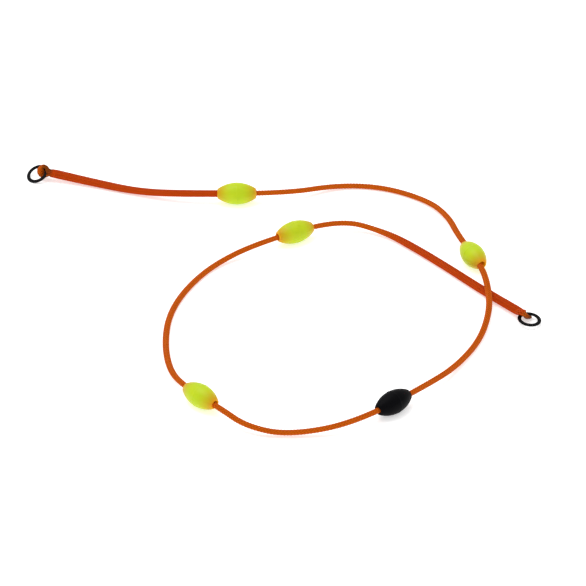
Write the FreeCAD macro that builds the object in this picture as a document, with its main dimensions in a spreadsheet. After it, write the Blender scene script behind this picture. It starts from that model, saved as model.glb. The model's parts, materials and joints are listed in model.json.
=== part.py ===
import FreeCAD, Part
import math
import os
import Sketcher

# Beaded leg band: one length of hollow braid with an eye spliced round a small ring at each end,
# and five olive beads threaded on it. It lies loose on a flat surface, in one loop that crosses
# over its own right splice. Millimetres, +Z up, z = 0 is the surface, and the origin is the
# middle of the whole band's plan.

Vector = FreeCAD.Vector
UP = Vector(0, 0, 1)

doc = FreeCAD.newDocument("leg_band")
sheet = doc.addObject("Spreadsheet::Sheet", "sizes")

SIZES = [
    ("cord_diameter", 1.6, "braid where it is a single line"),
    ("left_splice_diameter", 2.5, "braid swollen over its own tail, left end"),
    ("right_splice_diameter", 2.8, "the same at the right end"),
    ("taper_tip_wall", 0.1, "wall of the braid where a splice ends"),
    ("tail_clearance", 0.02, "gap all round a tail inside its splice"),
    ("eye_cord_diameter", 1.3, "braid pulled tight round a ring"),
    ("eye_gap_over", 0.61, "gap between the ring's band and the leg over it"),
    ("eye_gap_under", 0.21, "gap between the ring's band and the leg under it"),
    ("eye_spread", 1.46, "a leg's distance from the eye's middle along the band"),
    ("eye_gap_crown", 0.9, "gap between the ring's band and the eye's crown"),
    ("eye_gap_shoulder", 0.35, "gap back to where the legs run straight"),
    ("eye_length", 3.2, "middle of the ring's band to the splice"),
    ("eye_bury", 0.8, "how far a leg runs into the splice"),
    ("throat_half_width", 0.6, "half the distance between the legs there"),
    ("bead_length", 14.0, "bead, end face to end face"),
    ("bead_diameter", 8.0, "bead at its middle"),
    ("bead_end_wall", 0.4, "bead's flat end face, from its bore out to its flank"),
    ("bead_edge", 0.3, "rounding between bead and end face"),
    ("bead_clearance", 0.05, "gap all round the left splice, which ends in a bead"),
    ("ring_diameter", 8.2, "ring, outside"),
    ("ring_band", 1.3, "ring, from its outside to its hole"),
    ("ring_thickness", 0.6, "ring, face to face"),
    ("ring_edge", 0.25, "rounding of the ring's four edges"),
    ("surface_gap", 0.1, "between the single line and the surface"),
    ("crossing_gap", 1.8, "between the line and the splice it crosses"),
]
# The bead is bored for the left splice, and its end face follows the bore.
SIZES.append(
    (
        "bead_end_diameter",
        "=left_splice_diameter + 2 * (bead_clearance + bead_end_wall)",
        "bead's end face, outside",
    )
)
for row, (name, value, meaning) in enumerate(SIZES, start=1):
    sheet.set(f"A{row}", name)
    sheet.set(f"B{row}", str(value))
    sheet.set(f"C{row}", meaning)
    sheet.setAlias(f"B{row}", name)
doc.recompute()


def size(name):
    return float(sheet.get(name))


# ---- heights that the cord lies at -------------------------------------------------------------

line_height = size("cord_diameter") / 2 + size("surface_gap")
bead_height = size("bead_diameter") / 2
left_height = size("left_splice_diameter") / 2 + size("surface_gap")
right_height = size("right_splice_diameter") / 2 + size("surface_gap")
over_height = 2 * right_height + size("crossing_gap") + size("cord_diameter") / 2

# The route, from the left eye to the right eye. Beads sit on the long level runs, at bead_height.
ROUTE = [
    (-80.0, 78.4, left_height + 1.2),
    (-66.5, 74.5, left_height + 0.2),
    (-49.5, 68.0, left_height),
    (-32.0, 62.5, bead_height),
    (3.5, 63.0, bead_height),
    (22.0, 73.5, line_height),
    (39.0, 72.0, line_height),
    (55.0, 63.0, line_height),
    (60.5, 46.5, bead_height - 2.0),
    (63.5, 33.4, bead_height - 0.1),
    (73.5, 11.0, bead_height + 0.2),
    (73.8, -5.0, over_height + 0.5),
    (71.5, -22.0, line_height),
    (63.5, -38.5, line_height),
    (53.0, -56.0, bead_height),
    (26.5, -80.5, bead_height),
    (5.5, -83.5, line_height),
    (-12.1, -78.0, bead_height),
    (-33.1, -56.6, bead_height),
    (-37.4, -46.0, bead_height - 1.5),
    (-37.8, -27.5, line_height),
    (-36.5, -11.0, line_height),
    (-31.0, 6.0, line_height),
    (-21.5, 21.5, line_height),
    (-6.5, 29.5, bead_height),
    (22.0, 45.5, bead_height),
    (38.5, 41.0, right_height - 0.15),
    (50.0, 29.0, right_height),
    (61.0, 16.0, right_height),
    (71.0, 3.5, right_height),
    (82.6, -10.5, right_height + 0.5),
]
points = [Vector(*p) for p in ROUTE]

# Each bead: the run it is on (the number of the route point where the run starts) and how far
# along that run its middle is.
BEADS = {
    "bead_1": (3, 17.8),
    "bead_2": (9, 13.0),
    "bead_3_middle": (14, 19.0),
    "bead_4": (17, 18.0),
    "bead_5": (24, 15.0),
}

# Where each splice is whole, where it has tapered to the single line, as (run, distance).
LEFT_WHOLE_TO = (3, 12.0)
LEFT_TAPER_TO = (3, 17.0)
RIGHT_TAPER_FROM = (25, 8.3)
RIGHT_WHOLE_FROM = (26, 8.3)

# Each ring: the splice end that its eye grows from, the compass direction of its middle from
# there, how far it leans, the compass direction of its low side, and how far its low edge is held
# above the surface by the leg of the eye that passes under it.
RINGS = {
    "left": {"throat": points[0], "heading": 170.1, "lean": 26.0, "low_side": 220.0, "held_up": 0.0},
    "right": {"throat": points[-1], "heading": -52.0, "lean": 6.0, "low_side": -10.0, "held_up": 1.05},
}

# ---- the route's path: straight runs joined by tangent arcs ------------------------------------

ARC_SHARE = 0.45


def corner_arc(before, corner, after):
    """The tangent arc at a corner, and its radius."""
    back, ahead = before - corner, after - corner
    reach = ARC_SHARE * min(back.Length, ahead.Length)
    turn = math.pi - back.getAngle(ahead)
    radius = reach / math.tan(turn / 2)
    start = corner + back.normalize() * reach
    end = corner + ahead.normalize() * reach
    inward = (back + ahead).normalize()
    middle = corner + inward * (radius / math.cos(turn / 2) - radius)
    return Part.Arc(start, middle, end), start, end, radius


def path_edges(route):
    """Line, arc, line, arc ... line. The straight part of run n is edge 2n. Also the radii."""
    edges, radii = [], []
    at = route[0]
    for before, corner, after in zip(route, route[1:], route[2:]):
        arc, start, end, radius = corner_arc(before, corner, after)
        edges.append(Part.LineSegment(at, start).toShape())
        edges.append(arc.toShape())
        radii.append(radius)
        at = end
    edges.append(Part.LineSegment(at, route[-1]).toShape())
    return edges, radii


edges, radii = path_edges(points)
print("arc radii, mm:", ", ".join(f"{radius:.0f}" for radius in radii))


def on_run(run, distance):
    """The point this far along a run, and the run's direction."""
    direction = (points[run + 1] - points[run]).normalize()
    return points[run] + direction * distance, direction


def stretch(start, end):
    """The path's edges from one (run, distance) to another. Both lie on straight parts."""
    (first, _), (last, _) = start, end
    start_point, end_point = on_run(*start)[0], on_run(*end)[0]
    if first == last:
        return [Part.LineSegment(start_point, end_point).toShape()]
    head = Part.LineSegment(start_point, edges[2 * first].Vertexes[1].Point).toShape()
    tail = Part.LineSegment(edges[2 * last].Vertexes[0].Point, end_point).toShape()
    return [head] + edges[2 * first + 1 : 2 * last] + [tail]


# ---- solids along a path -----------------------------------------------------------------------


def disc_edge(at, direction, diameter):
    return Part.Wire(Part.Circle(at, direction, diameter / 2).toShape())


def ends(path):
    """The two ends of a list of edges, each with the path's direction there."""
    first, last = path[0], path[-1]
    return (
        (first.valueAt(first.FirstParameter), first.tangentAt(first.FirstParameter)),
        (last.valueAt(last.LastParameter), last.tangentAt(last.LastParameter)),
    )


def tube(path, diameter):
    """A round solid along the path, checked against its section times its length."""
    wire = Part.Wire(path)
    at, direction = ends(path)[0]
    solid = wire.makePipeShell([disc_edge(at, direction, diameter)], True, False)
    expected = math.pi * diameter**2 / 4 * wire.Length
    assert abs(solid.Volume - expected) < 0.01 * expected, "tube volume"
    return solid


def tapered_tube(path, start_diameter, end_diameter):
    """The same with a diameter that changes evenly from one end to the other."""
    (at, direction), (to, end_direction) = ends(path)
    shell = Part.BRepOffsetAPI.MakePipeShell(Part.Wire(path))
    shell.add(disc_edge(at, direction, start_diameter))
    shell.add(disc_edge(to, end_direction, end_diameter))
    shell.build()
    shell.makeSolid()
    return shell.shape()


def add_solid(label, shape):
    """A solid set by Part's own functions, as an object of the document."""
    piece = doc.addObject("Part::Feature", label)
    piece.Label = label
    piece.Shape = shape
    piece.Placement = FreeCAD.Placement()
    return piece


pieces = []

# ---- the single line, its two splices and their buried tails -----------------------------------

START = (0, 0.0)
END = (len(points) - 2, (points[-1] - points[-2]).Length)


def make_line():
    """The single line runs into both tapers, as far as the tails' ends."""
    return add_solid("cord", tube(stretch(LEFT_WHOLE_TO, RIGHT_WHOLE_FROM), size("cord_diameter")))


def make_splice(side, whole, taper, diameter):
    """The braid swollen over its own tail, narrowing to the single line at one end."""
    bore_diameter = size("cord_diameter") + 2 * size("tail_clearance")
    tip_diameter = bore_diameter + 2 * size("taper_tip_wall")
    sleeve = tube(whole, diameter)
    if side == "left":
        sleeve = sleeve.fuse(tapered_tube(taper, diameter, tip_diameter))
        bore = tube(whole + taper, bore_diameter)
    else:
        sleeve = sleeve.fuse(tapered_tube(taper, tip_diameter, diameter))
        bore = tube(taper + whole, bore_diameter)
    return add_solid(f"splice_{side}", sleeve.cut(bore).Solids[0])


def make_tail(side, whole):
    """The end of the cord, buried in its own splice."""
    return add_solid(f"tail_{side}", tube(whole, size("cord_diameter")))


left_whole = stretch(START, LEFT_WHOLE_TO)
left_taper = stretch(LEFT_WHOLE_TO, LEFT_TAPER_TO)
right_taper = stretch(RIGHT_TAPER_FROM, RIGHT_WHOLE_FROM)
right_whole = stretch(RIGHT_WHOLE_FROM, END)

pieces.append(make_line())
pieces.append(make_splice("left", left_whole, left_taper, size("left_splice_diameter")))
pieces.append(make_splice("right", right_whole, right_taper, size("right_splice_diameter")))
pieces.append(make_tail("left", left_whole))
pieces.append(make_tail("right", right_whole))

# ---- rings -------------------------------------------------------------------------------------


def origin_plane(body, role):
    return next(item for item in body.Origin.OriginFeatures if item.Role == role)


def ring_pose(ring):
    """The ring's middle and the way its face looks."""
    lean, low = math.radians(ring["lean"]), math.radians(ring["low_side"])
    normal = Vector(
        math.sin(lean) * math.cos(low), math.sin(lean) * math.sin(low), math.cos(lean)
    )
    edge = size("ring_edge")
    height = (size("ring_diameter") / 2 - edge) * math.sin(lean)
    height += (size("ring_thickness") / 2 - edge) * math.cos(lean) + edge + ring["held_up"]
    away = size("eye_length") + (size("ring_diameter") - size("ring_band")) / 2
    heading = math.radians(ring["heading"])
    x = ring["throat"].x + away * math.cos(heading)
    y = ring["throat"].y + away * math.sin(heading)
    return Vector(x, y, height), normal


def make_ring(side):
    """A flat ring with rounded edges: a washer padded about its middle plane, then filleted."""
    body = doc.addObject("PartDesign::Body", f"ring_{side}")
    body.Label = f"ring_{side}"
    sketch = body.newObject("Sketcher::SketchObject", f"ring_{side}_face")
    sketch.AttachmentSupport = (origin_plane(body, "XY_Plane"), [""])
    sketch.MapMode = "FlatFace"
    outer = size("ring_diameter") / 2
    sketch.addGeometry(Part.Circle(Vector(0, 0, 0), UP, outer), False)
    sketch.addGeometry(Part.Circle(Vector(0, 0, 0), UP, outer - size("ring_band")), False)
    for circle in (0, 1):
        sketch.addConstraint(Sketcher.Constraint("Coincident", circle, 3, -1, 1))
    outside = sketch.addConstraint(Sketcher.Constraint("Radius", 0, outer))
    inside = sketch.addConstraint(Sketcher.Constraint("Radius", 1, outer - size("ring_band")))
    sketch.renameConstraint(outside, "outside")
    sketch.renameConstraint(inside, "inside")
    sketch.setExpression("Constraints.outside", "sizes.ring_diameter / 2")
    sketch.setExpression("Constraints.inside", "sizes.ring_diameter / 2 - sizes.ring_band")
    pad = body.newObject("PartDesign::Pad", f"ring_{side}_pad")
    pad.Profile = sketch
    pad.Midplane = True
    pad.setExpression("Length", "sizes.ring_thickness")
    doc.recompute()
    rims = [
        f"Edge{number}"
        for number, edge in enumerate(pad.Shape.Edges, start=1)
        if isinstance(edge.Curve, Part.Circle)
    ]
    rounding = body.newObject("PartDesign::Fillet", f"ring_{side}_edges")
    rounding.Base = (pad, rims)
    rounding.setExpression("Radius", "sizes.ring_edge")
    middle, normal = ring_pose(RINGS[side])
    body.Placement = FreeCAD.Placement(middle, FreeCAD.Rotation(UP, normal))
    return body


for side in RINGS:
    pieces.append(make_ring(side))

# ---- eyes --------------------------------------------------------------------------------------


def held_point(side):
    """The middle of the ring's band where the eye holds it, and the band's direction there."""
    throat = RINGS[side]["throat"]
    middle, normal = ring_pose(RINGS[side])
    towards = Vector(throat.x - middle.x, throat.y - middle.y, 0).normalize()
    outward = (towards - normal * towards.dot(normal)).normalize()
    radius = (size("ring_diameter") - size("ring_band")) / 2
    return middle + outward * radius, normal.cross(outward)


def make_eye(side):
    """The loop at the end of the cord: one leg over the ring's band and one leg under it."""
    throat = RINGS[side]["throat"]
    held, band = held_point(side)
    centre, normal = ring_pose(RINGS[side])
    inward = (centre - held).normalize()
    clear = (size("ring_thickness") + size("eye_cord_diameter")) / 2
    over = band * size("eye_spread") + normal * (clear + size("eye_gap_over"))
    under = band * -size("eye_spread") - normal * (clear + size("eye_gap_under"))
    middle = held + (over + under) / 2
    half = (over - under) / 2
    beside = (size("ring_band") + size("eye_cord_diameter")) / 2
    shoulder = middle - inward * (beside + size("eye_gap_shoulder"))
    crown = middle + inward * (beside + size("eye_gap_crown"))
    buried = throat - (shoulder - throat).normalize() * size("eye_bury")
    narrow = Vector(half).normalize() * size("throat_half_width")
    outline = [
        buried + narrow,
        shoulder + half,
        crown + half,
        crown - half,
        shoulder - half,
        buried - narrow,
    ]
    loop, loop_radii = path_edges(outline)
    print(f"eye_{side} radii, mm:", ", ".join(f"{radius:.1f}" for radius in loop_radii))
    return add_solid(f"eye_{side}", tube(loop, size("eye_cord_diameter")))


for side in RINGS:
    pieces.append(make_eye(side))
    held, band = held_point(side)
    print(f"ring_{side} swings about", [round(v, 3) for v in held], [round(v, 4) for v in band])

# ---- beads -------------------------------------------------------------------------------------


def make_bead(name, run, distance):
    """An olive bead turned about its bore, with flat rounded ends."""
    body = doc.addObject("PartDesign::Body", name)
    body.Label = name
    sketch = body.newObject("Sketcher::SketchObject", f"{name}_half")
    sketch.AttachmentSupport = (origin_plane(body, "XY_Plane"), [""])
    sketch.MapMode = "FlatFace"
    half = size("bead_length") / 2
    bore = size("left_splice_diameter") / 2 + size("bead_clearance")
    end, crown = size("bead_end_diameter") / 2, size("bead_diameter") / 2
    flank = Part.Arc(Vector(half, end, 0), Vector(0, crown, 0), Vector(-half, end, 0))
    sketch.addGeometry(
        [
            Part.LineSegment(Vector(-half, bore, 0), Vector(half, bore, 0)),
            Part.LineSegment(Vector(half, bore, 0), Vector(half, end, 0)),
            flank,
            Part.LineSegment(Vector(-half, end, 0), Vector(-half, bore, 0)),
        ],
        False,
    )
    for constraint in (
        Sketcher.Constraint("Coincident", 0, 2, 1, 1),
        Sketcher.Constraint("Coincident", 1, 2, 2, 1),
        Sketcher.Constraint("Coincident", 2, 2, 3, 1),
        Sketcher.Constraint("Coincident", 3, 2, 0, 1),
        Sketcher.Constraint("Vertical", 1),
        Sketcher.Constraint("Symmetric", 0, 1, 0, 2, -2),
        Sketcher.Constraint("Symmetric", 2, 1, 2, 2, -2),
    ):
        sketch.addConstraint(constraint)
    rise = crown - end
    driven = (
        ("length", Sketcher.Constraint("DistanceX", 0, 1, 0, 2, 2 * half), "sizes.bead_length"),
        (
            "bore",
            Sketcher.Constraint("DistanceY", -1, 1, 0, 2, bore),
            "sizes.left_splice_diameter / 2 + sizes.bead_clearance",
        ),
        (
            "end",
            Sketcher.Constraint("DistanceY", -1, 1, 1, 2, end),
            "sizes.bead_end_diameter / 2",
        ),
        (
            "flank",
            Sketcher.Constraint("Radius", 2, (half**2 + rise**2) / (2 * rise)),
            "((sizes.bead_length / 2) ^ 2"
            " + ((sizes.bead_diameter - sizes.bead_end_diameter) / 2) ^ 2)"
            " / (sizes.bead_diameter - sizes.bead_end_diameter)",
        ),
    )
    for label, constraint, formula in driven:
        sketch.renameConstraint(sketch.addConstraint(constraint), label)
        sketch.setExpression(f"Constraints.{label}", formula)
    turned = body.newObject("PartDesign::Revolution", f"{name}_turned")
    turned.Profile = sketch
    turned.ReferenceAxis = (sketch, ["H_Axis"])
    turned.Angle = 360
    doc.recompute()
    rims = [
        f"Edge{number}"
        for number, edge in enumerate(turned.Shape.Edges, start=1)
        if isinstance(edge.Curve, Part.Circle) and abs(edge.Curve.Radius - end) < 0.01
    ]
    rounding = body.newObject("PartDesign::Fillet", f"{name}_rims")
    rounding.Base = (turned, rims)
    rounding.setExpression("Radius", "sizes.bead_edge")
    middle, direction = on_run(run, distance)
    body.Placement = FreeCAD.Placement(middle, FreeCAD.Rotation(Vector(1, 0, 0), direction))
    return body


for name, (run, distance) in BEADS.items():
    pieces.append(make_bead(name, run, distance))
    print(f"{name} slides along", [round(v, 4) for v in on_run(run, distance)[1]])

# ---- checks and files --------------------------------------------------------------------------

doc.recompute()
for item in doc.Objects:
    assert not {"Invalid", "Error"} & set(item.State), f"{item.Label}: {item.State}"

os.makedirs("parts", exist_ok=True)
for piece in pieces:
    assert not piece.Shape.isNull() and piece.Shape.isValid(), piece.Label
    assert len(piece.Shape.Solids) == 1, f"{piece.Label}: {len(piece.Shape.Solids)} solids"
    piece.Shape.exportStep(f"parts/{piece.Label}.step")

cord_length = sum(edge.Length for edge in edges)
print(f"cord from throat to throat: {cord_length:.1f} mm")
print(f"{len(pieces)} pieces")
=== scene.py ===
# %% [markdown]
# # A beaded cord band with a ring spliced into each end
#
# The band is one length of hollow braid, about 0.6 m long. At each end it goes round a small black
# ring and back into itself, so that the last part of the cord is twice as thick: that is an eye
# splice. Five olive beads are threaded on it, four of translucent yellow and one black.
# The mechanical model is loaded first. It says where everything is, in metres, and it is never
# moved: every piece made below is put where it says, and rides on one of its bodies.

import json
import math

import bpy
import numpy as np
from mathutils import Matrix, Vector


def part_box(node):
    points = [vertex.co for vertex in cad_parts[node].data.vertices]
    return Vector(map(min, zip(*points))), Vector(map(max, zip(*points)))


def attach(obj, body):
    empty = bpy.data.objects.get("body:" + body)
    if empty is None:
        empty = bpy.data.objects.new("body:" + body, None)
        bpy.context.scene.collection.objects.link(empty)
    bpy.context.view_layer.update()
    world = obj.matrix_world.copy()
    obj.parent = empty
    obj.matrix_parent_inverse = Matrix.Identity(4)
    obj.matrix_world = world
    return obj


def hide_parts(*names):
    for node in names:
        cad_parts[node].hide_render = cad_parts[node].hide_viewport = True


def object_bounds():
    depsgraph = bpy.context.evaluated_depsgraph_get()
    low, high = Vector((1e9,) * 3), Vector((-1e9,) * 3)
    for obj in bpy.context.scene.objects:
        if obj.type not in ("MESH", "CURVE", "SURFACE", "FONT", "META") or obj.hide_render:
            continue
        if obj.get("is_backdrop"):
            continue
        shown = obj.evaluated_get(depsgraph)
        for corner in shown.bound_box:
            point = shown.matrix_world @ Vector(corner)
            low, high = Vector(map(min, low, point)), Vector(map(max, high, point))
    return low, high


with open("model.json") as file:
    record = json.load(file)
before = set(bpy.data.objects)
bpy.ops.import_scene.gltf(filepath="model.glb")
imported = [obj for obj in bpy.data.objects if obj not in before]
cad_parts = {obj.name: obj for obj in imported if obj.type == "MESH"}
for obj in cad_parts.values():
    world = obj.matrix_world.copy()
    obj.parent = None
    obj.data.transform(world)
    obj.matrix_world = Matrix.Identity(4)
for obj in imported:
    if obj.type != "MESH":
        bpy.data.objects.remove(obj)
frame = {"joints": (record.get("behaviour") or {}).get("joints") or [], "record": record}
cad_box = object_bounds()
MM = 0.001
joints = {joint["child"]: joint for joint in frame["joints"]}
print("box of the mechanical model:", [[round(v, 4) for v in corner] for corner in cad_box])

# %% [markdown]
# ## The camera
# The band lies flat on a table and is seen from the front and above, 33 degrees up, from far off,
# so the near and far sides of the loop are nearly at one scale. The camera is made before anything
# else, because a long loose cord is checked against what the camera sees.

# %% Camera
LENS, CAMERA_AWAY = 245.7, 1.384
aim = Vector((0.0059, 0.0035, 0.0))
tilt = math.radians(33)
camera_data = bpy.data.cameras.new("camera")
camera_data.lens = LENS
camera_data.sensor_width = 36
camera_data.clip_end = 20
camera = bpy.data.objects.new("camera", camera_data)
bpy.context.scene.collection.objects.link(camera)
camera.location = aim + CAMERA_AWAY * Vector((0, -math.cos(tilt), math.sin(tilt)))
camera.rotation_euler = (math.pi / 2 - tilt, 0, 0)
bpy.context.scene.camera = camera
print("camera at", [round(v, 3) for v in camera.location])

# %% [markdown]
# ## The route of the cord
# A loose cord is one smooth line. It could be drawn as arcs and straight runs, but a limp braid has
# no corners and no straight parts, so its line is a NURBS curve, and these are its control points.
# The line is low on the table, and it climbs into each bead, because a bead holds the cord half its
# own width up. Between the second bead and the long bend it goes over its own right splice.

# %% Route of the cord
line_height, bead_height, left_height, right_height = 0.95, 4.00, 1.40, 1.45
ROUTE = [
    (-80.0, 78.4, left_height + 1.3),
    (-66.5, 74.5, left_height + 0.1),
    (-49.5, 68.0, left_height),
    (-32.0, 62.5, bead_height),
    (3.5, 63.0, bead_height),
    (22.0, 73.5, line_height),
    (39.0, 72.0, line_height),
    (54.8, 62.4, line_height),
    (61.3, 49.5, bead_height - 1.8),
    (64.0, 35.0, bead_height - 0.1),
    (71.6, 14.0, bead_height + 0.1),
    (73.3, 1.0, 4.1),
    (73.3, -12.0, bead_height - 1.2),
    (69.5, -27.0, line_height),
    (61.5, -42.8, line_height + 0.6),
    (53.0, -56.3, bead_height),
    (26.5, -80.8, bead_height),
    (4.5, -83.5, line_height),
    (-9.5, -81.5, bead_height - 0.9),
    (-18.0, -72.6, bead_height),
    (-31.2, -58.4, bead_height),
    (-35.6, -47.0, bead_height - 1.5),
    (-37.6, -29.0, line_height),
    (-36.5, -11.0, line_height),
    (-30.7, 5.7, line_height),
    (-21.3, 20.8, line_height),
    (-6.5, 29.5, bead_height),
    (22.0, 45.5, bead_height),
    (38.5, 41.0, right_height),
    (50.0, 29.0, right_height),
    (61.0, 16.0, right_height),
    (71.0, 3.5, right_height),
    (82.6, -10.5, right_height + 0.6),
]
route = [Vector(point) * MM for point in ROUTE]
print(len(route), "control points from eye to eye")

# %% [markdown]
# ## The eyes
# At each end the cord goes over the ring's band, across inside the hole, back under the band and
# into the splice. The ring's hinge says where the eye holds the band and which way the band runs
# there, and the ring's own box says where its middle is, so the loop is laid out from these three.
# The legs are pressed flat. At the left ring the leg over the band is bunched up to one side and
# the other lies wide behind it. At the right ring the wide leg is the one over the band. The splice
# is tight: it reaches nearly to the ring.

# %% Control points of an eye
OVER, UNDER, MOUTH, BEHIND = 1.5, 1.15, 1.2, 0.2
BURIED = (1.0 * MM, 6.0 * MM)


def eye_points(ring, throat, along, leg_over, leg_under, reach):
    """From the splice out over the ring and back, ending inside the splice.

    leg_over and leg_under say how far along the band each leg is from the middle of the eye, and
    reach says how far into the ring's opening the loop goes.
    """
    held, band = Vector(joints[ring]["pos_m"]), Vector(joints[ring]["axis"]).normalized()
    low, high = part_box(ring)
    inward = ((low + high) / 2 - held).normalized()
    normal = band.cross(inward)

    def beside_band(reach, sideways, up):
        return held + (inward * reach + band * sideways + normal * up) * MM

    return [
        beside_band(-MOUTH, 0.0, 0.1),
        beside_band(-BEHIND, leg_over, OVER),
        beside_band(reach, leg_over, OVER),
        beside_band(reach, leg_under, -UNDER),
        beside_band(-BEHIND, leg_under, -UNDER),
        beside_band(-MOUTH, -0.2, -0.2),
        throat + along * BURIED[0],
        throat + along * BURIED[1],
    ]


left_along = (route[1] - route[0]).normalized()
left_eye = eye_points(
    "ring_left", route[0], left_along, leg_over=2.0, leg_under=0.0, reach=2.25
)
right_along = (route[-2] - route[-1]).normalized()
right_eye = eye_points(
    "ring_right", route[-1], right_along, leg_over=1.0, leg_under=-1.8, reach=1.55
)
cord_points = left_eye[::-1] + route + right_eye
print("control points with both eyes:", len(cord_points))

# %% [markdown]
# The curve is read back as a dense line. Its order is set after its points are in, because before
# that the curve has too few of them and stays a chain of straight runs.

# %% The smooth line of the cord
curve = bpy.data.curves.new("cord_line", "CURVE")
curve.dimensions = "3D"
curve.resolution_u = 48
spline = curve.splines.new("NURBS")
spline.points.add(len(cord_points) - 1)
for point, place in zip(spline.points, cord_points):
    point.co = (*place, 1.0)
spline.order_u = 3
spline.use_endpoint_u = True
guide = bpy.data.objects.new("cord_line", curve)
bpy.context.scene.collection.objects.link(guide)
bpy.context.view_layer.update()
sampled = bpy.data.meshes.new_from_object(guide)
raw = np.array([vertex.co for vertex in sampled.vertices])
bpy.data.meshes.remove(sampled)
bpy.data.objects.remove(guide)


def along_line(points):
    """How far along a line each of its points is."""
    return np.concatenate([[0], np.cumsum(np.linalg.norm(np.diff(points, axis=0), axis=1))])


distance = along_line(raw)
STEP = 0.25 * MM
stations = np.linspace(0, distance[-1], int(distance[-1] / STEP) + 1)
line = np.stack([np.interp(stations, distance, raw[:, axis]) for axis in range(3)], axis=1)
print(f"cord, with both eyes and the two ends in the splices: {stations[-1]:.3f} m")

# %% [markdown]
# ## How thick the cord is
# A hollow braid lies slightly flat where nothing is inside it: here it is 2.3 mm wide and 1.8 mm
# high. Over its own buried end it swells to about 3 mm and gets rounder, and round the ring it is
# pulled tight and thin. The left splice ends inside the first bead, and the right one tapers off in
# the open. Width and height are tables of (place along the cord, size), read by interpolation. In
# a bead the bore keeps the braid round, so it is higher and narrower there. Only the first bead
# holds the splice, which stays wide. Two marks go with the cord for its colours: where it is
# swollen over its own end, and where it is shaded round the rings.

# %% Width and height of the cord along its length
IN_EYE, EYE_PENALTY = 0.010, 0.004
TAPER_FROM = Vector((35.3, 43.2, right_height)) * MM
TAPER_TO = Vector((46.0, 33.0, right_height)) * MM
IN_BORE, BORE_REACH = 2.1 * MM, 9 * MM
THIN_HEIGHT, SWELLING = 1.85, 0.55
UNEVEN, SHORT_WAVE, LONG_WAVE = 0.018, 0.0051, 0.0173


def station_near(place):
    """How far along the cord it comes nearest to a place, with the eyes made less likely."""
    away = np.linalg.norm(line - np.array(place), axis=1)
    away[(stations < IN_EYE) | (stations > stations[-1] - IN_EYE)] += EYE_PENALTY
    return stations[int(np.argmin(away))]


def middle_of(node):
    low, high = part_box(node)
    return (low + high) / 2


left_throat, right_throat = station_near(route[0]), station_near(route[-1])
first_bead = station_near(middle_of("bead_1"))
taper_start, taper_end = station_near(TAPER_FROM), station_near(TAPER_TO)
SWELL = [
    (0.0, 2.2, 1.35),
    (left_throat - 11 * MM, 3.2, 1.35),
    (left_throat - 8 * MM, 3.0, 1.35),
    (left_throat - 6.5 * MM, 2.2, 1.4),
    (left_throat - 3.6 * MM, 1.5, 1.3),
    (left_throat - 1.2 * MM, 3.6, 2.9),
    (left_throat + 0.5 * MM, 3.6, 3.1),
    (left_throat + 30 * MM, 3.0, 2.6),
    (first_bead - 7 * MM, 2.8, 2.5),
    (first_bead - 2 * MM, 2.3, 1.8),
    (taper_start, 2.3, 1.8),
    (taper_end, 3.0, 2.5),
    (right_throat - 0.5 * MM, 3.5, 2.9),
    (right_throat + 1.4 * MM, 3.6, 2.4),
    (right_throat + 3.2 * MM, 3.8, 1.6),
    (right_throat + 5.6 * MM, 3.0, 1.5),
    (right_throat + 7.5 * MM, 2.6, 1.4),
    (right_throat + 9.5 * MM, 2.8, 1.4),
    (stations[-1], 2.2, 1.35),
]
where, widths, heights = np.array(SWELL).T
width = np.interp(stations, where, widths) * MM
height = np.interp(stations, where, heights) * MM
unevenness = 1 + UNEVEN * np.sin(stations / SHORT_WAVE) * np.sin(stations / LONG_WAVE + 1.0)
width, height = width * unevenness, height / unevenness
swollen = np.clip((height / MM - THIN_HEIGHT) / SWELLING, 0, 1)
swollen[(stations > right_throat) & (stations < right_throat + 5 * MM)] = 1.0
for node in (name for name in joints if name.startswith("bead")):
    from_bead = (stations - station_near(middle_of(node))) / BORE_REACH
    in_bore = np.exp(-(from_bead**8))
    height = np.maximum(height, in_bore * IN_BORE)
    if node != "bead_1":
        width = width - in_bore * np.maximum(width - IN_BORE, 0)
# Painted shade: the cord is darkened round the rings where it lies in shade. That is on the left
# eye's leg over the band and its part under the band, and on the right eye's crown and leg under
# the band.
SHADED = [
    (left_throat - 6.5 * MM, 0.0),
    (left_throat - 5.0 * MM, 1.0),
    (left_throat - 2.2 * MM, 1.0),
    (left_throat - 0.6 * MM, 0.0),
    (right_throat + 4.5 * MM, 0.0),
    (right_throat + 7.0 * MM, 1.0),
]
shaded = np.interp(stations, *np.array(SHADED).T)
shaded[stations < left_throat - 9 * MM] = 0.6
print(f"throats at {left_throat:.3f} and {right_throat:.3f} m, first bead at {first_bead:.3f} m")

# %% [markdown]
# A section has to keep its flat side down all along the cord, yet the strands must not be twisted
# where the line turns in space. So two directions are worked out at each station: one that is
# carried along the line without twisting, which the strands count their angle from, and one that is
# level, which the wide side of the section follows.

# %% Directions across the cord
ahead = np.gradient(line, axis=0)
ahead /= np.linalg.norm(ahead, axis=1)[:, None]
carried = np.empty_like(ahead)
side = np.cross(ahead[0], (0, 0, 1.0))
for i, direction in enumerate(ahead):
    side = side - direction * side.dot(direction)
    side /= np.linalg.norm(side)
    carried[i] = side
raised = np.cross(carried, ahead)
level = np.cross(ahead, (0, 0, 1.0))
level /= np.linalg.norm(level, axis=1)[:, None]
lean = np.unwrap(np.arctan2((level * raised).sum(1), (level * carried).sum(1)))
print(f"the level side turns {math.degrees(np.ptp(lean)):.0f} degrees from the carried one")


def at(values, places):
    """A value, or a point, of the cord at any places along it."""
    if values.ndim == 1:
        return np.interp(places, stations, values)
    return np.stack([np.interp(places, stations, column) for column in values.T], axis=1)


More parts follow.
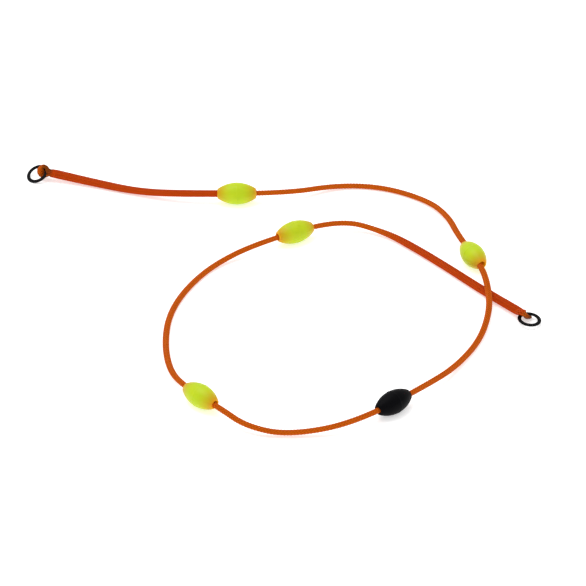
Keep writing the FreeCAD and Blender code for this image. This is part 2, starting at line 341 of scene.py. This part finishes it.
def on_section(places, angle, inset):
    """Points on the cord's oval section, inset from its outside, and the way out from each."""
    half_width, half_height = at(width, places) / 2 - inset, at(height, places) / 2 - inset
    flat = half_width - half_height
    turned = angle - at(lean, places)
    turned = turned + 0.5 * flat / (half_width + half_height) * np.sin(2 * turned)
    leaning = at(lean, places)[:, None]
    out, up = at(carried, places), at(raised, places)
    wide = out * np.cos(leaning) + up * np.sin(leaning)
    high = up * np.cos(leaning) - out * np.sin(leaning)
    cosine, sine = np.cos(turned)[:, None], np.sin(turned)[:, None]
    point = at(line, places) + wide * half_width[:, None] * cosine
    point = point + high * half_height[:, None] * sine
    outward = wide * cosine / half_width[:, None] + high * sine / half_height[:, None]
    return point, outward / np.linalg.norm(outward, axis=1)[:, None]


# %% [markdown]
# ## The inside of the cord
# What is under the strands is made first: a closed tube a little smaller than the cord. It stops
# light from showing between the strands, as the far wall of the braid and the buried end do.

# %% Tube inside the braid


def make_mesh(name, points, faces, attributes):
    mesh = bpy.data.meshes.new(name)
    mesh.from_pydata([tuple(p) for p in points], [], faces)
    for label, values in attributes.items():
        mesh.attributes.new(label, "FLOAT", "POINT").data.foreach_set(
            "value", np.asarray(values, np.float32)
        )
    mesh.update()
    piece = bpy.data.objects.new(name, mesh)
    bpy.context.scene.collection.objects.link(piece)
    return piece


def tube_faces(rings, around):
    """Faces of a closed tube whose rings of points follow each other, with both ends capped."""
    faces = []
    for ring in range(rings - 1):
        base = ring * around
        for k in range(around):
            following = (k + 1) % around
            faces.append(
                (base + k, base + following, base + following + around, base + k + around)
            )
    faces.append(tuple(range(around))[::-1])
    faces.append(tuple((rings - 1) * around + k for k in range(around)))
    return faces


AROUND, CORE_RINGS, CORE_INSET = 14, 1400, 0.21 * MM
core_places = np.linspace(0, stations[-1], CORE_RINGS)
core_rings = [
    on_section(core_places, np.full(CORE_RINGS, 2 * math.pi * k / AROUND), CORE_INSET)[0]
    for k in range(AROUND)
]
core_points = np.stack(core_rings, axis=1).reshape(-1, 3)
core = make_mesh(
    "cord_inside",
    core_points,
    tube_faces(CORE_RINGS, AROUND),
    {
        "swollen": np.repeat(at(swollen, core_places), AROUND),
        "shaded": np.repeat(at(shaded, core_places), AROUND),
    },
)
core.data.shade_smooth()
print("tube inside the braid:", len(core.data.polygons), "faces")

# %% [markdown]
# ## The braid
# Sixteen flat strands make the cord: eight wind one way, eight the other, and each goes over two
# and under two. A picture of a braid would look right only from afar, so each strand is a thin
# closed ribbon. Its angle grows evenly, and its depth follows a wave of four crossings, which is
# shifted by two for each next strand. A strand keeps its length, so where the cord is thick its
# turns come closer together, as they do on a real swollen braid.

# %% Lay of the strands
PER_WAY, STRAND_TURN = 8, 10.8 * MM
DEPTH, HALF_THICK = 0.055 * MM, 0.07 * MM
FILL, PLATEAU, EDGE_DROP, UNDERSIDE = 0.98, 1.25, 0.075, 1.6
girth = math.pi * (width + height) / 2
pitch = np.sqrt(STRAND_TURN**2 - girth**2)
turned_by = np.concatenate([[0], np.cumsum(2 * math.pi / ((pitch[1:] + pitch[:-1]) / 2) * STEP)])
steps = 2 * math.pi / (4 * PER_WAY)
wound = np.arange(0, turned_by[-1], steps)
strand_places = np.interp(wound, turned_by, stations)
strand_width = FILL * girth * np.cos(np.arctan2(girth, pitch)) / PER_WAY
print(f"{wound[-1] / 2 / math.pi:.0f} turns, a turn every {pitch.max() / MM:.1f} mm at most")
print(f"strands {strand_width.min() / MM:.2f} to {strand_width.max() / MM:.2f} mm wide")


def over_and_under(crossing):
    """1 where a strand is on top and -1 where it is underneath, over two and under two."""
    return np.clip(PLATEAU * np.cos(math.pi / 2 * (crossing - 0.5)), -1, 1)


def strand(index, way):
    """The points of one strand: its two edges, its crown and its underside at each step."""
    crossing = wound * PER_WAY / math.pi
    if way > 0:
        above = over_and_under(crossing + 2 * index)
    else:
        above = -over_and_under(2 * index - crossing)
    angle = 2 * math.pi * index / PER_WAY + way * wound
    inset = HALF_THICK + DEPTH - DEPTH * above
    points, outward = on_section(strand_places, angle, inset)
    along = np.gradient(points, axis=0)
    across = np.cross(along, outward)
    across /= np.linalg.norm(across, axis=1)[:, None]
    half = at(strand_width, strand_places)[:, None] / 2
    drop = outward * EDGE_DROP * MM
    return np.stack(
        [
            points + across * half - drop,
            points + outward * HALF_THICK,
            points - across * half - drop,
            points - outward * HALF_THICK * UNDERSIDE,
        ],
        axis=1,
    )


# %% [markdown]
# Each ribbon also gets a flat map, one strip per strand, so that its fibres can run along it.

# %% Strands of one way, as one piece


def make_braid(name, way):
    count = len(wound)
    all_points, faces = [], []
    for index in range(PER_WAY):
        base = index * count * 4
        all_points.append(strand(index, way).reshape(-1, 3))
        for face in tube_faces(count, 4):
            faces.append(tuple(base + corner for corner in face))
    places = np.tile(np.repeat(at(swollen, strand_places), 4), PER_WAY)
    crown = np.tile(np.array([0.0, 1.0, 0.0, 0.0]), count * PER_WAY)
    shade = np.tile(np.repeat(at(shaded, strand_places), 4), PER_WAY)
    marks = {"swollen": places, "shaded": shade, "crown": crown}
    piece = make_mesh(name, np.concatenate(all_points), faces, marks)
    uv = piece.data.uv_layers.new(name="strand_map")
    corner_vertex = np.empty(len(piece.data.loops), np.int32)
    piece.data.loops.foreach_get("vertex_index", corner_vertex)
    step, corner = (corner_vertex // 4) % count, corner_vertex % 4
    number = corner_vertex // (4 * count)
    across = number / PER_WAY + np.array([0.0, 0.5, 1.0, 0.5])[corner] / PER_WAY
    lengthwise = strand_places[step] / stations[-1]
    uv.data.foreach_set("uv", np.stack([across, lengthwise], axis=1).astype(np.float32).ravel())
    piece.data.shade_smooth()
    print(name, "has", 2 * len(piece.data.polygons), "triangles")
    return piece


braid_over = make_braid("braid_right_lay", 1)
braid_back = make_braid("braid_left_lay", -1)

# %% [markdown]
# ## Shader maths
# A pattern is worked out from numbers, so a small class lets them be added and multiplied as in
# Python, and each sign adds one Math node. Another one keeps a material's nodes together and has
# one method for every other kind of node.

# %% Helpers for materials


class Number:
    """A socket that holds a number, for sums written as Python expressions."""

    def __init__(self, paint, socket):
        self.paint, self.socket = paint, socket

    def combine(self, operation, first, second):
        node = self.paint.add("Math", {"operation": operation}, {0: first, 1: second})
        return Number(self.paint, node.outputs[0])

    def __add__(self, other):
        return self.combine("ADD", self, other)

    def __sub__(self, other):
        return self.combine("SUBTRACT", self, other)

    def __rsub__(self, other):
        return self.combine("SUBTRACT", other, self)

    def __mul__(self, other):
        return self.combine("MULTIPLY", self, other)

    def __pow__(self, other):
        return self.combine("POWER", self, other)

    __radd__, __rmul__ = __add__, __mul__


class Paint:
    """One material and its nodes."""

    def __init__(self, name):
        self.material = bpy.data.materials.new(name)
        self.material.use_nodes = True
        self.tree = self.material.node_tree
        self.shader = self.tree.nodes["Principled BSDF"]

    def add(self, kind, settings, inputs):
        node = self.tree.nodes.new("ShaderNode" + kind)
        for key, value in settings.items():
            setattr(node, key, value)
        for key, value in inputs.items():
            self.feed(node.inputs[key], value)
        return node

    def feed(self, socket, value):
        if isinstance(value, Number):
            value = value.socket
        if isinstance(value, bpy.types.NodeSocket):
            self.tree.links.new(value, socket)
        else:
            socket.default_value = value

    def set(self, **values):
        for key, value in values.items():
            self.feed(self.shader.inputs[key.replace("_", " ")], value)

    def attribute(self, name):
        node = self.add("Attribute", {"attribute_name": name}, {})
        return Number(self, node.outputs["Fac"])

    def noise(self, place, scale, detail=2.0):
        node = self.add("TexNoise", {}, {"Vector": place, "Scale": scale, "Detail": detail})
        return Number(self, node.outputs["Fac"])

    def place(self, kind="Object"):
        return self.add("TexCoord", {}, {}).outputs[kind]

    def stretched(self, place, scale):
        node = self.add("Mapping", {}, {"Vector": place, "Scale": scale})
        return node.outputs["Vector"]

    def blend(self, factor, first, second):
        node = self.add("Mix", {"data_type": "RGBA"}, {0: factor, 6: first, 7: second})
        return node.outputs[2]

    def bump(self, height, strength, distance):
        node = self.add(
            "Bump", {}, {"Strength": strength, "Distance": distance, "Height": height}
        )
        self.feed(self.shader.inputs["Normal"], node.outputs["Normal"])


def wear(piece, paint):
    """Gives a piece its material, in place of any that it has."""
    piece.data.materials.clear()
    piece.data.materials.append(paint.material)


print("helpers ready")

# %% [markdown]
# ## The braid's fibre
# The strands are bundles of very fine plastic fibres: orange where the cord is single, and a deeper
# red-orange where it is swollen over its own end, because there the light doesn't pass through it.
# The fibres run along each strand, so their streaks are noise on the strand's own map, stretched a
# hundredfold along it. The crown of a strand is a little paler and its edges sink into shade.

# %% Fibre of the strands
ORANGE, RED_ORANGE, SHADE = (0.60, 0.092, 0.0, 1), (0.54, 0.034, 0.0, 1), (0.18, 0.02, 0.0, 1)
fibre = Paint("orange_braid_fibre")
streaks = fibre.noise(fibre.stretched(fibre.place("UV"), (160, 900, 1)), 1.0, 3.0)
patches = fibre.noise(fibre.place(), 140.0)
thick = fibre.attribute("swollen")
crown = fibre.attribute("crown")
base = fibre.blend(thick, ORANGE, RED_ORANGE)
base = fibre.blend((1 - crown) * 0.45, base, SHADE)
base = fibre.blend((streaks - 0.5) * 0.5 + 0.1, base, (0.85, 0.26, 0.01, 1))
base = fibre.blend((patches - 0.35) * 0.35, base, (0.36, 0.04, 0.0, 1))
# Painted shade round the rings, from the shaded mark.
base = fibre.blend(fibre.attribute("shaded") * 0.8, base, (0.10, 0.022, 0.0, 1))
fibre.set(Base_Color=base, Roughness=0.45 + streaks * 0.3)
fibre.set(Sheen_Weight=0.02, Sheen_Roughness=0.4, Specular_IOR_Level=0.05)
fibre.bump(streaks, 0.35, 0.00003)
for braid in (braid_over, braid_back):
    wear(braid, fibre)

# Painted shade: the tube inside is a dark orange-red, much darker than the fibre. This is the
# inside of the braid, which the strands keep out of the light.
inside_shade = Paint("braid_inside_painted_shade")
grain = inside_shade.noise(inside_shade.place(), 900.0)
inside_shade.set(Base_Color=inside_shade.blend(grain, (0.13, 0.015, 0.0, 1), (0.26, 0.035, 0.0, 1)))
inside_shade.set(Roughness=0.75 + grain * 0.1)
wear(core, inside_shade)
print("fibre and lining are on", braid_over.name, braid_back.name, core.name)

# %% [markdown]
# ## The beads
# A bead is an olive, moulded in two halves: 14 mm long, 8 mm across, flat at its two holes, with
# a fine ridge round its middle where the halves of the mould met. It could be a scaled sphere, but
# that has no bore, no flat ends and no ridge. So a circle is extruded ring by ring along the bead's
# outside, rounded over at each end and brought back through the bore, as a lathe would turn it.

# %% Outline of a bead
HALF, CROWN, END, BORE = 7.0, 3.93, 1.65, 1.18
flank_radius = (HALF**2 + (CROWN - END) ** 2) / (2 * (CROWN - END))


def flank(z):
    """How far out the bead's side is at this height above its middle."""
    return CROWN - flank_radius + math.sqrt(flank_radius**2 - z**2)


RIM, RIDGE_REACH, SIDE_STEPS = 0.2, 0.6, 18
ridge = [(-0.3, 0.0), (-0.16, 0.045), (0.0, 0.075), (0.16, 0.045), (0.3, 0.0)]
end_rim = [(-HALF + 0.04, BORE + 0.1), (-HALF, BORE + RIM), (-HALF + 0.04, END - 0.1)]
side_of_bead = [(z, flank(z)) for z in np.linspace(-HALF + RIM, -RIDGE_REACH, SIDE_STEPS)]
ridge_of_bead = [(z, flank(z) + rise) for z, rise in ridge]
first_half = [(-HALF + RIM, BORE)] + end_rim + side_of_bead
second_half = [(-z, r) for z, r in reversed(first_half)]
outline = first_half + ridge_of_bead + second_half
print("a bead is turned from", len(outline), "rings")

# %% Turn one bead


def start_fresh():
    if bpy.context.object and bpy.context.object.mode != "OBJECT":
        bpy.ops.object.mode_set(mode="OBJECT")
    bpy.ops.object.select_all(action="DESELECT")


def turn(name, rings, around):
    """Extrudes a circle through rings of (height, radius) in mm, and closes it on itself."""
    start_fresh()
    z, r = rings[0]
    bpy.ops.mesh.primitive_circle_add(
        vertices=around, radius=r * MM, fill_type="NOTHING", location=(0, 0, z * MM)
    )
    piece = bpy.context.object
    piece.name = piece.data.name = name
    bpy.ops.object.transform_apply(location=True)
    bpy.ops.object.mode_set(mode="EDIT")
    bpy.ops.mesh.select_all(action="SELECT")
    for next_z, next_r in rings[1:] + rings[:1]:
        bpy.ops.mesh.extrude_region_move(
            TRANSFORM_OT_translate={"value": (0, 0, (next_z - z) * MM)}
        )
        if abs(next_r - r) > 1e-9:
            bpy.ops.transform.resize(value=(next_r / r, next_r / r, 1))
        z, r = next_z, next_r
    bpy.ops.mesh.select_all(action="SELECT")
    bpy.ops.mesh.remove_doubles(threshold=0.000001)
    bpy.ops.mesh.normals_make_consistent(inside=False)
    bpy.ops.object.mode_set(mode="OBJECT")
    piece.data.shade_smooth()
    return piece


pattern_bead = turn("pattern_bead", outline, 72)
print("one bead:", len(pattern_bead.data.polygons), "faces")

# %% [markdown]
# Each bead is a copy with a mesh of its own, turned to lie along the cord. Its joint says which way
# that is. One measure stays with it for its painted light: how near a point is to one of the holes,
# where the cord's orange seen through the plastic and a glow are painted on.

# %% Thread the beads on the cord


# The painted glow of the cord starts this far from the bead's middle and grows over this length, in
# mm.
CLEAR_MIDDLE, PAINTED_GLOW_REACH = 1.5, 5.5


def thread_bead(node):
    body = node
    piece = bpy.data.objects.new(f"{node}_olive", pattern_bead.data.copy())
    bpy.context.scene.collection.objects.link(piece)
    co = np.array([vertex.co for vertex in piece.data.vertices])
    to_hole = np.clip((np.abs(co[:, 2]) / MM - CLEAR_MIDDLE) / PAINTED_GLOW_REACH, 0, 1)
    piece.data.attributes.new("to_hole", "FLOAT", "POINT").data.foreach_set(
        "value", to_hole.astype(np.float32)
    )
    axis = Vector(joints[body]["axis"]).normalized()
    turned = Vector((0, 0, 1)).rotation_difference(axis).to_matrix().to_4x4()
    piece.data.transform(Matrix.Translation(middle_of(node)) @ turned)
    piece.data.update()
    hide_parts(node)
    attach(piece, body)
    return piece


beads = {node: thread_bead(node) for node in joints if node.startswith("bead")}
bpy.data.objects.remove(pattern_bead)
print("beads:", sorted(beads))

# %% [markdown]
# ## Bead plastics
# The yellow beads are a translucent, slightly fluorescent plastic. Light goes some way into it, so
# it has subsurface scattering and soft mustard clouds. Near the holes the orange of the cord, seen
# through the plastic, is painted into its colour, and right at the holes a painted orange glow
# lightens the shade in the bore. Its surface is satin from the mould, which is a very fine noise in
# the bump. The black one is the same moulding in an opaque plastic.

# %% Yellow and black plastic
yellow = Paint("translucent_yellow_plastic")
cloud = yellow.noise(yellow.place(), 260.0)
hole = yellow.attribute("to_hole")
# Painted light: the orange of the cord, seen through the plastic near the holes, is painted into
# the colour.
painted_cord_glow = (hole**1.8) * (0.6 + cloud * 0.6)
body_colour = yellow.blend(cloud, (0.42, 0.59, 0.006, 1), (0.56, 0.66, 0.012, 1))
mustard = yellow.noise(yellow.place(), 75.0, 1.0) * 2.2 - 0.75
body_colour = yellow.blend(mustard * 0.55, body_colour, (0.52, 0.44, 0.0, 1))
body_colour = yellow.blend(painted_cord_glow * 0.85, body_colour, (0.60, 0.19, 0.0, 1))
yellow.set(Base_Color=body_colour, Specular_IOR_Level=0.2)
# Painted light: right at the holes the bead glows orange, which lightens the shade in the bore.
yellow.set(Emission_Color=yellow.blend(hole**10.0, (0.0, 0.0, 0.0, 1), (0.55, 0.12, 0.0, 1)))
yellow.set(Emission_Strength=0.3)
yellow.set(Subsurface_Weight=0.5, Subsurface_Radius=(1.0, 0.9, 0.2), Subsurface_Scale=0.002)
yellow.set(Roughness=0.34 + yellow.noise(yellow.place(), 2200.0) * 0.12, IOR=1.5)
yellow.bump(yellow.noise(yellow.place(), 3200.0), 0.12, 0.00004)

black = Paint("black_plastic")
haze = black.noise(black.place(), 700.0, 4.0)
black.set(Base_Color=black.blend(haze, (0.001, 0.001, 0.0015, 1), (0.003, 0.003, 0.004, 1)))
black.set(Roughness=0.35 + haze * 0.2, Specular_IOR_Level=0.04)
black.bump(black.noise(black.place(), 3200.0), 0.12, 0.00004)
for node, bead in beads.items():
    dark = node == "bead_3_middle"
    wear(bead, black if dark else yellow)
print("plastics are on the beads")

# %% [markdown]
# ## The rings
# Each ring is a small closed ring, 8.2 mm across, with a flat band whose edges are rounded. A torus
# is near it, but its section is round, and a band cut from a tube would have sharp edges. So it is
# turned like the beads: a circle is extruded round the outline of the band's own section.

# %% Section of a ring
RING_OUT, RING_IN, FACE, EDGE = 4.1, 2.8, 0.3, 0.25


def rounded_corner(middle_z, middle_r, start, steps=5):
    """A quarter round of the section, from a start angle, as (height, radius)."""
    angles = [math.radians(start + 90 * i / steps) for i in range(steps + 1)]
    return [(middle_z + EDGE * math.sin(a), middle_r + EDGE * math.cos(a)) for a in angles]


corners = [(FACE - EDGE, RING_OUT - EDGE, 0), (FACE - EDGE, RING_IN + EDGE, 90)]
corners += [(EDGE - FACE, RING_IN + EDGE, 180), (EDGE - FACE, RING_OUT - EDGE, 270)]
section = [point for corner in corners for point in rounded_corner(*corner)]
print("a ring is turned from", len(section), "rings")

# %% Make the two rings


def make_ring(node):
    piece = turn(f"{node}_band", section, 96)
    band, held = Vector(joints[node]["axis"]).normalized(), Vector(joints[node]["pos_m"])
    inward = (middle_of(node) - held).normalized()
    across = inward.cross(band).normalized()
    pose = Matrix((inward, band, across)).transposed().to_4x4()
    piece.data.transform(Matrix.Translation(middle_of(node)) @ pose)
    piece.data.shade_smooth()
    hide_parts(node)
    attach(piece, node)
    return piece


rings = [make_ring("ring_left"), make_ring("ring_right")]
enamel = Paint("black_ring_finish")
mottle = enamel.noise(enamel.place(), 600.0, 4.0)
enamel.set(Base_Color=enamel.blend(mottle, (0.001, 0.001, 0.0015, 1), (0.005, 0.005, 0.006, 1)))
enamel.set(Roughness=0.35 + mottle * 0.25, Specular_IOR_Level=0.06)
enamel.bump(enamel.noise(enamel.place(), 2600.0), 0.15, 0.00003)
for ring in rings:
    wear(ring, enamel)
print("rings:", [ring.name for ring in rings])

# %% [markdown]
# The braid's three pieces are one cord. They ride on the band's own body and stand for its seven
# solids. The tube inside is as long as the real cord, it starts at the left splice, and it ends
# round the right ring in a splice of its own.

# %% The cord's pieces ride on the band
CORD_NODES = list(frame["record"]["behaviour"]["bodies"]["cord"])
for piece in (core, braid_over, braid_back):
    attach(piece, "cord")
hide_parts("tail_left", "tail_right")
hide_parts(*[node for node in CORD_NODES if not node.startswith("tail")])
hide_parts(*[node for node in CORD_NODES if not node.startswith("tail")])
print("declared a cord of", round(float(stations[-1]), 3), "m")

# %% [markdown]
# ## Table and light
# The band lies on a plain white table in even light from all round, with one large soft light
# overhead to the left, so shadows are faint and the colours stay clear.

# %% Table
start_fresh()
bpy.ops.mesh.primitive_plane_add(size=6, location=(0, 0, 0))
table = bpy.context.object
table.name = "table"
table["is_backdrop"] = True
paper = Paint("white_table")
paper.set(Base_Color=(0.93, 0.93, 0.93, 1), Roughness=0.9, Specular_IOR_Level=0.1)
paper.set(Emission_Color=(1, 1, 1, 1), Emission_Strength=0.45)
table.data.materials.append(paper.material)
print("table:", [round(v, 2) for v in table.dimensions])

# %% Light
scene = bpy.context.scene
scene.view_settings.view_transform = "Standard"
world = bpy.data.worlds.new("white_room")
world.use_nodes = True
world.node_tree.nodes["Background"].inputs["Color"].default_value = (1, 1, 1, 1)
world.node_tree.nodes["Background"].inputs["Strength"].default_value = 0.78
scene.world = world
lamp_data = bpy.data.lights.new("soft_light", "AREA")
lamp_data.shape = "DISK"
lamp_data.size = 1.2
lamp_data.energy = 9
lamp = bpy.data.objects.new("soft_light", lamp_data)
scene.collection.objects.link(lamp)
lamp.location = (-0.35, 0.25, 1.3)
lamp.rotation_euler = (Vector((0, 0, 0)) - lamp.location).to_track_quat("-Z", "Y").to_euler()
print("light at", [round(v, 2) for v in lamp.location])

# %% [markdown]
# ## Finish
# Both boxes are printed, so that the model that is seen can be compared in size with the mechanical
# one.

# %% Print both boxes and finish
boxes = {"cad": cad_box, "visual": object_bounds()}
boxes = {name: [[float(v) for v in corner] for corner in box] for name, box in boxes.items()}
print(boxes)
